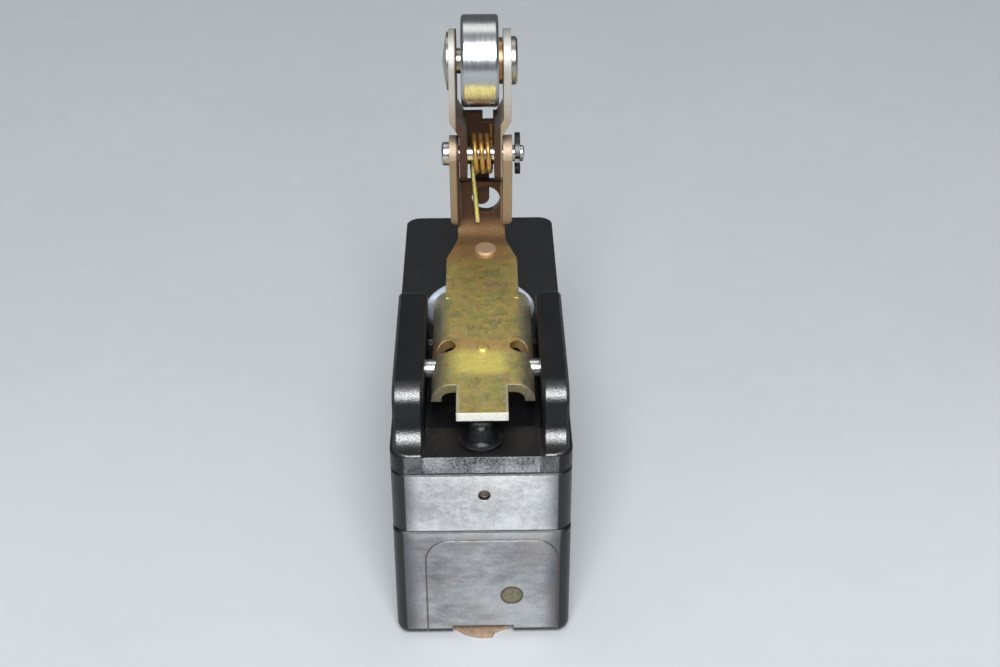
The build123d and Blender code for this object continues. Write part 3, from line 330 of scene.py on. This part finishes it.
def grained_cover():
    """The top cover: matt black, with a rubbed lip below its channel."""
    channel_side, lip_top = 5.5, 22.9
    shader, _, _, cloud, relief = black_moulding("grained_cover", 0.035)
    in_channel = shader.step(shader.away(shader.x), channel_side, channel_side + 0.12, 1.0, 0.0)
    below_feet = shader.step(shader.z, lip_top, lip_top - 0.4, 0.0, 0.3)
    lip = shader.product(end_face_mask(shader), shader.math("MAXIMUM", in_channel, below_feet))
    coarse = shader.noise(4.0, detail=5.0, rough=0.75, shift=2.2)
    broad = shader.noise(0.35, detail=2.0, shift=6.6)
    lip_level = shader.math("MULTIPLY_ADD", broad, 0.4, shader.product(coarse, 0.6))
    lip_colour = shader.ramp(lip_level, (0.40, (0.035, 0.037, 0.04)), (0.62, (0.48, 0.49, 0.50)))
    gloss = shader.step(shader.noise(7.0, detail=3.0, rough=0.7, shift=1.0), 0.3, 0.7, 0.24, 0.36)
    sheen = shader.step(shader.y, -2.0, 4.0, 0.32, 0.62)
    shader.set(
        Base_Color=shader.mix(lip, black_film(shader, cloud, 10.0, 0.60, 0.8), lip_colour),
        Metallic=shader.product(lip, 0.6),
        Roughness=shader.blend(lip, gloss, 0.42),
        Specular_IOR_Level=shader.blend(worn_cheeks(shader), sheen, 1.7),
        Normal=shader.bump(coarse, 0.03, relief),
    )
    dress(shader, "top_cover")


def olive_plug():
    """Speckled olive resin with a darker rim."""
    shader = Shader("olive_resin")
    speck = shader.noise(4.0, detail=5.0, rough=0.7)
    low, high = (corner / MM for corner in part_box("end_plug"))
    middle = (low + high) / 2
    rim = shader.step(shader.radius(shader.x, middle.x, shader.z, middle.z), 0.78, 1.08, 0.0, 0.75)
    resin = shader.ramp(speck, (0.3, (0.07, 0.062, 0.035)), (0.7, (0.24, 0.215, 0.13)))
    shader.set(
        Base_Color=shader.mix(rim, resin, (0.03, 0.027, 0.015)),
        Roughness=shader.step(speck, 0.3, 0.7, 0.38, 0.55),
        Metallic=0.2,
        Normal=shader.bump(speck, 0.08),
    )
    dress(shader, "end_plug")


def fibre_liner():
    """Brown fibre sheet with long fibres and yellower stains."""
    shader = Shader("fibre_sheet")
    along = shader.stretch((1.0, 0.35, 1.0))
    fibres = shader.noise(2.2, detail=6.0, rough=0.65, where=along, distort=0.8)
    stain = shader.noise(0.8, detail=3.0, shift=3.0)
    colour = shader.ramp(fibres, (0.3, (0.24, 0.15, 0.10)), (0.65, (0.44, 0.30, 0.21)))
    shader.set(
        Base_Color=shader.mix(shader.step(stain, 0.5, 0.7, 0.0, 0.5), colour, (0.42, 0.30, 0.18)),
        Roughness=shader.step(fibres, 0.3, 0.7, 0.6, 0.8),
        Normal=shader.bump(fibres, 0.1, shader.soft_edges(0.08)),
    )
    dress(shader, "base_liner")


def bumper_rubber():
    """Shiny black rubber with fine pale specks."""
    shader = Shader("bumper_rubber")
    mark = shader.noise(4.5, detail=4.0, rough=0.6)
    specks = shader.step(shader.noise(14.0, detail=1.0, shift=2.0), 0.66, 0.76)
    black = shader.ramp(mark, (0.3, (0.003, 0.003, 0.0035)), (0.8, (0.008, 0.008, 0.009)))
    shader.set(
        Base_Color=shader.mix(specks, black, (0.1, 0.1, 0.1)),
        Roughness=shader.step(mark, 0.3, 0.7, 0.14, 0.24),
        Specular_IOR_Level=0.3,
        Normal=shader.bump(mark, 0.05),
    )
    dress(shader, "tail_stop")


def milky_seal():
    """Milky translucent rubber, with painted shade over its near side under the lever."""
    shader = Shader("seal_rubber")
    mark = shader.noise(1.6, detail=3.0)
    milk = shader.ramp(mark, (0.3, (0.60, 0.66, 0.76)), (0.8, (0.76, 0.81, 0.90)))
    # painted shade: the seal's near side, under the lever, is darkened
    painted_shade = shader.step(shader.math("ADD", shader.y, mark), 4.4, 2.2, 0.0, 0.8)
    shader.set(
        Base_Color=shader.mix(painted_shade, milk, (0.10, 0.105, 0.115)),
        Roughness=shader.step(mark, 0.3, 0.7, 0.22, 0.34),
        Subsurface_Weight=0.3,
        Subsurface_Radius=(0.4 * MM, 0.5 * MM, 0.7 * MM),
    )
    dress(shader, "plunger_seal")


def plunger_plastic():
    """Smooth black plastic."""
    shader = Shader("plunger_plastic")
    mark = shader.noise(6.0, detail=2.0)
    shader.set(
        Base_Color=shader.ramp(mark, (0.3, (0.01, 0.01, 0.011)), (0.8, (0.02, 0.02, 0.022))),
        Roughness=shader.step(mark, 0.3, 0.7, 0.22, 0.34),
        Normal=shader.bump(mark, 0.01),
    )
    dress(shader, "plunger")


# ------------------------------------------------------------------ metals
def passivated_film(shader, cloud, veil):
    """Clouds of olive, yellow and copper film under a milky veil."""
    along = shader.stretch((1.0, 0.18, 0.6))
    drawn = shader.noise(2.4, detail=4.0, rough=0.6, where=along, shift=8.0)
    hue = shader.math("MULTIPLY_ADD", veil, 0.45, shader.product(cloud, 0.55))
    colour = shader.ramp(
        hue,
        (0.32, (0.34, 0.31, 0.17)),
        (0.42, (0.47, 0.41, 0.13)),
        (0.50, (0.60, 0.49, 0.12)),
        (0.57, (0.60, 0.42, 0.16)),
        (0.64, (0.52, 0.36, 0.21)),
        (0.72, (0.48, 0.48, 0.30)),
    )
    milky = shader.step(drawn, 0.48, 0.72, 0.0, 0.5)
    colour = shader.mix(milky, colour, (0.50, 0.50, 0.39))
    green = shader.step(shader.noise(0.5, detail=3.0, shift=14.0), 0.48, 0.66, 0.0, 0.45)
    colour = shader.mix(green, colour, (0.36, 0.40, 0.12))
    olive = shader.noise(0.9, detail=5.0, rough=0.6, shift=17.0, distort=0.5)
    return shader.mix(shader.step(olive, 0.46, 0.64, 0.0, 0.6), colour, (0.27, 0.235, 0.10))


def channel_wear_and_highlight(shader, colour, veil, flake, pin_top):
    """Silvered channel sides, coppery patches and sparks, and a painted orange highlight over the relief
    holes.
    """
    relief_row_y = -11.6
    low, high = (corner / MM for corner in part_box("actuating_lever"))
    side = shader.step(shader.away(shader.x, (low.x + high.x) / 2), 3.4, 4.5)
    below = shader.step(shader.z, pin_top + 3.4, pin_top + 2.8)
    silvered = shader.product(side, below, shader.step(flake, 0.40, 0.56, 0.1, 0.9))
    colour = shader.mix(silvered, colour, (0.58, 0.56, 0.49))
    copper = shader.step(shader.noise(0.55, detail=3.0, shift=25.0), 0.52, 0.64, 0.0, 0.28)
    colour = shader.mix(copper, colour, (0.52, 0.31, 0.14))
    spark = shader.noise(7.0, detail=2.0, rough=0.7, shift=31.0)
    colour = shader.mix(shader.step(spark, 0.54, 0.66, 0.0, 0.5), colour, (0.78, 0.72, 0.46))
    # painted highlight: an orange glow just over the relief holes
    clear = shader.step(shader.away(shader.y, relief_row_y), 0.3, 1.9)
    painted_hole_highlight = shader.product(shader.math("SUBTRACT", 1.0, clear), shader.step(veil, 0.34, 0.56, 0.2, 0.6))
    return shader.mix(painted_hole_highlight, colour, (0.74, 0.40, 0.16))


def neck_with_painted_light(shader, colour, rust, pin_top):
    """Coppery at the bend, with painted shade on the neck and upright, a painted highlight on the dimple,
    and paler stamped edges that turn to a painted silver highlight at the top.
    """
    dimple_x, dimple_y = 0.64, 5.0
    colour = shader.mix(rust, colour, (0.34, 0.19, 0.085))
    # painted shade: darker brown from the neck back
    neck_shade = shader.step(shader.y, 5.6, 7.4, 0.0, 0.85)
    colour = shader.mix(neck_shade, colour, (0.095, 0.052, 0.024))
    # painted highlight on the dimple
    dimple_highlight = shader.step(shader.radius(shader.x, dimple_x, shader.y, dimple_y), 1.5, 0.9, 0.0, 0.45)
    colour = shader.mix(dimple_highlight, colour, (0.95, 0.72, 0.56))
    # painted shade over the upright web and the bracket above the pivot
    upright = shader.step(shader.z, pin_top + 3.9, pin_top + 5.6)
    colour = shader.mix(upright, colour, (0.10, 0.056, 0.040))
    sideways = shader.step(shader.away(shader.nx), 0.3, 0.8, 0.0, 0.8)
    colour = shader.mix(shader.product(upright, sideways), colour, (0.30, 0.26, 0.22))
    rim = shader.product(upright, shader.step(shader.away(shader.x), 2.25, 2.45))
    # painted highlight: the stamped edges turn silver towards the top of the upright
    silver = shader.step(shader.z, pin_top + 17.0, pin_top + 21.0)
    return shader.mix(rim, colour, shader.mix(silver, (0.47, 0.36, 0.26), (0.56, 0.54, 0.50)))


def worked_tail_and_highlight(shader, colour, grain, flake, sheared):
    """Dark pits, a painted gold highlight over the pivot, and a bright sheared and burred tab."""
    tab_middle_x, tab_root_y = 0.14, -17.6
    dark = shader.step(grain, 0.28, 0.44, 0.4, 0.0)
    colour = shader.mix(dark, colour, (0.16, 0.13, 0.06))
    # painted highlight: a gold band over the pivot
    painted_gold_highlight = shader.product(
        shader.step(shader.y, -16.8, -15.4),
        shader.step(shader.y, -13.4, -11.6, 1.0, 0.0),
        shader.step(shader.away(shader.x), 1.6, 3.4, 1.0, 0.0),
        shader.step(grain, 0.34, 0.52, 0.35, 1.0),
    )
    colour = shader.mix(painted_gold_highlight, colour, (1.0, 0.86, 0.24))
    pitted = shader.step(grain, 0.34, 0.5, 0.5, 0.0)
    colour = shader.mix(sheared, colour, shader.mix(pitted, (0.95, 0.93, 0.84), (0.45, 0.43, 0.35)))
    burr = shader.product(
        shader.step(shader.away(shader.x, tab_middle_x), 2.1, 2.45),
        shader.step(shader.y, tab_root_y, tab_root_y - 0.4),
        shader.step(flake, 0.38, 0.5, 0.2, 0.85),
    )
    return shader.mix(burr, colour, (0.66, 0.62, 0.52))


def chromate(name):
    """Yellow iridescent passivated zinc on stamped sheet, with bright cut edges."""
    pin_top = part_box("lever_pivot_pin")[1].z / MM
    tab_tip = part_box("actuating_lever")[0].y / MM
    shader = Shader(name)
    cloud = shader.noise(0.42, detail=5.0, rough=0.6, shift=2.0, distort=0.5)
    veil = shader.noise(1.3, detail=5.0, rough=0.65, shift=6.0, distort=0.3)
    grain = shader.noise(9.0, detail=3.0, rough=0.65)
    flake = shader.noise(3.4, detail=4.0, rough=0.7, shift=21.0)
    rust = shader.product(shader.step(shader.y, 1.5, 4.5), shader.step(cloud, 0.3, 0.6, 0.55, 0.9))
    sheared = shader.product(
        shader.step(shader.y, tab_tip + 0.55, tab_tip + 0.35), shader.step(shader.ny, -0.6, -0.85)
    )
    colour = passivated_film(shader, cloud, veil)
    colour = channel_wear_and_highlight(shader, colour, veil, flake, pin_top)
    colour = neck_with_painted_light(shader, colour, rust, pin_top)
    colour = worked_tail_and_highlight(shader, colour, grain, flake, sheared)
    relief = shader.bump(grain, 0.045, shader.soft_edges(0.12))
    shader.set(
        Base_Color=colour,
        Metallic=shader.blend(sheared, 0.9, 0.3),
        Roughness=shader.blend(rust, shader.step(veil, 0.3, 0.7, 0.3, 0.46), 0.62),
        Normal=shader.bump(veil, 0.05, relief),
    )
    return shader


def plated_parts():
    """Lever, bracket and spring, all yellow passivated."""
    dress(chromate("chromate_lever"), "actuating_lever")
    dress(chromate("chromate_bracket"), "roller_bracket")

    shader = Shader("gold_wire")
    draw = shader.noise(3.0, detail=3.0, rough=0.6)
    lower_leg = shader.step(shader.z, 38.5, 36.5)
    colour = shader.ramp(draw, (0.3, (0.50, 0.24, 0.07)), (0.65, (0.68, 0.43, 0.14)))
    shader.set(
        Base_Color=shader.mix(lower_leg, colour, (0.85, 0.76, 0.30)),
        Metallic=0.9,
        Roughness=shader.step(draw, 0.3, 0.7, 0.26, 0.38),
    )
    dress(shader, "torsion_spring")
    winding_spring()


def winding_spring():
    """A baked copy of the spring, shown in place of the hidden original."""
    spring = bpy.data.objects.new("winding_spring", NODES["torsion_spring"].data.copy())
    bpy.context.scene.collection.objects.link(spring)
    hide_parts("torsion_spring")
    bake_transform(spring)


def turned(name, colour, low_rough, high_rough, ring=8.0, tarnish=0.15, groove=0.006):
    """Turned metal: fine rings of varied roughness round the cross axis, a little tarnish."""
    shader = Shader(name)
    rings = shader.noise(ring, detail=3.0, rough=0.6, where=shader.stretch((1.0, 0.06, 0.06)))
    film = shader.noise(0.9, detail=4.0, shift=5.0)
    dull = tuple(channel * 0.6 for channel in colour)
    shader.set(
        Base_Color=shader.mix(shader.step(film, 0.45, 0.7, 0.0, tarnish), colour, dull),
        Metallic=1.0,
        Roughness=shader.step(rings, 0.3, 0.7, low_rough, high_rough),
        Normal=shader.bump(rings, groove, shader.soft_edges(0.08)),
    )
    return shader


def steel_parts():
    """Roller, pins, rivet, ring and bush, and the screws, terminals, contacts and blade."""
    roller = turned("polished_roller", (0.44, 0.445, 0.45), 0.22, 0.28, groove=0.0008)
    dress(roller, "roller")
    pins = turned("bright_pin", (0.50, 0.50, 0.49), 0.2, 0.3)
    dress(pins, "lever_pivot_pin", "bracket_pivot_pin")
    rivet = turned("nickel_rivet", (0.36, 0.345, 0.31), 0.24, 0.36, tarnish=0.4)
    dress(rivet, "roller_rivet")
    ring = turned("black_ring", (0.06, 0.06, 0.06), 0.3, 0.45)
    dress(ring, "retaining_ring")
    bush = turned("bronze_bush", (0.42, 0.22, 0.11), 0.3, 0.44, tarnish=0.5)
    dress(bush, "roller_bush")
    screw = turned("plated_screw", (0.6, 0.6, 0.57), 0.28, 0.4, tarnish=0.4)
    dress(screw, "cover_screws", "case_screws", "terminal_screws", "terminal_washers")
    brass = turned("terminal_brass", (0.72, 0.53, 0.24), 0.28, 0.42, tarnish=0.5)
    dress(brass, "terminal_com", "terminal_nc", "terminal_no")
    silver = turned("contact_silver", (0.8, 0.8, 0.78), 0.2, 0.34, tarnish=0.5)
    dress(silver, "fixed_contact_nc", "fixed_contact_no", "moving_contact")
    copper = turned("blade_copper", (0.7, 0.38, 0.2), 0.25, 0.38, tarnish=0.5)
    dress(copper, "snap_blade")


# ------------------------------------------------------------------ studio
def make_floor(low_z):
    """A large pale sheet with faint mottling, a little darker towards the back."""
    half = 1.6
    near_y, far_y = -half, half * 2
    mesh = bpy.data.meshes.new("floor")
    corners = [(-half, near_y, low_z), (half, near_y, low_z), (half, far_y, low_z), (-half, far_y, low_z)]
    mesh.from_pydata(corners, [], [(0, 1, 2, 3)])
    floor = bpy.data.objects.new("floor", mesh)
    bpy.context.scene.collection.objects.link(floor)
    shader = Shader("pale_floor")
    streak = shader.noise(0.35, detail=5.0, rough=0.6, where=shader.stretch((0.5, 1.6, 1.0)), distort=0.6)
    patch = shader.noise(0.02, detail=3.0, shift=4.0)
    base = shader.ramp(patch, (0.3, (0.525, 0.543, 0.560)), (0.7, (0.545, 0.563, 0.580)))
    beside = shader.step(shader.y, -20.0, 40.0)
    behind = shader.step(shader.y, 30.0, 150.0, 0.0, 0.03)
    far = shader.math("MULTIPLY_ADD", beside, 0.12, behind)
    base = shader.mix(far, base, (0.0, 0.0, 0.0))
    shader.set(
        Base_Color=shader.mix(shader.step(streak, 0.45, 0.75, 0.0, 0.10), base, (0.60, 0.61, 0.62)),
        Roughness=shader.step(streak, 0.3, 0.7, 0.62, 0.7),
        Normal=shader.bump(streak, 0.015),
    )
    mesh.materials.append(shader.material)


def area_light(name, azimuth, elevation, distance, size, power, colour, target):
    """A square soft light aimed at the target. Azimuth 0 is behind the camera."""
    turn, rise = radians(azimuth), radians(elevation)
    away = Vector((sin(turn) * cos(rise), -cos(turn) * cos(rise), sin(rise)))
    data = bpy.data.lights.new(name, "AREA")
    data.size = size
    data.energy = power
    data.color = colour
    lamp = bpy.data.objects.new(name, data)
    lamp.location = target + away * distance
    lamp.rotation_euler = (-away).to_track_quat("-Z", "Y").to_euler()
    bpy.context.scene.collection.objects.link(lamp)


def light_studio(middle):
    """A large soft key over the camera, a weak back light, and a grey room with a paler ceiling."""
    wall, ceiling = 0.17, 0.45
    area_light("key", 0, 46, 0.9, 0.50, 12.0, (0.95, 0.975, 1.0), middle)
    area_light("back", 178, 70, 1.0, 0.5, 1.2, (1.0, 0.98, 0.94), middle)
    world = bpy.data.worlds.new("room")
    world.use_nodes = True
    tree = world.node_tree
    background = tree.nodes["Background"]
    coords = tree.nodes.new("ShaderNodeTexCoord")
    axes = tree.nodes.new("ShaderNodeSeparateXYZ")
    rise = tree.nodes.new("ShaderNodeMapRange")
    rise.interpolation_type = "SMOOTHSTEP"
    rise.inputs["From Min"].default_value = 0.72
    rise.inputs["From Max"].default_value = 0.97
    rise.inputs["To Min"].default_value = wall
    rise.inputs["To Max"].default_value = ceiling
    tree.links.new(coords.outputs["Generated"], axes.inputs[0])
    tree.links.new(axes.outputs[2], rise.inputs["Value"])
    tree.links.new(rise.outputs["Result"], background.inputs["Strength"])
    background.inputs["Color"].default_value = (0.88, 0.94, 1.0, 1)
    bpy.context.scene.world = world


def place_camera():
    """A long lens, a little to the right of the middle, looking down at the near end."""
    eye = Vector((0.27, -141.9, 108.4)) * MM
    pitch, yaw, roll = 31.63, 0.75, -0.2
    data = bpy.data.cameras.new("camera")
    data.sensor_width = 36.0
    data.lens = 55.34
    data.clip_start = 0.01
    data.clip_end = 20.0
    camera = bpy.data.objects.new("camera", data)
    camera.location = eye
    aim = Euler((pi / 2 - radians(pitch), 0, -radians(yaw))).to_matrix()
    camera.rotation_euler = (aim @ Matrix.Rotation(radians(roll), 3, "Z")).to_euler()
    bpy.context.scene.collection.objects.link(camera)
    bpy.context.scene.camera = camera


rubbed_layers()
grained_cover()
olive_plug()
fibre_liner()
bumper_rubber()
milky_seal()
plunger_plastic()
plated_parts()
steel_parts()
make_floor(cad_bounds[0][2])
light_studio((Vector(cad_bounds[0]) + Vector(cad_bounds[1])) / 2)
place_camera()
bpy.context.scene.view_settings.view_transform = "Standard"
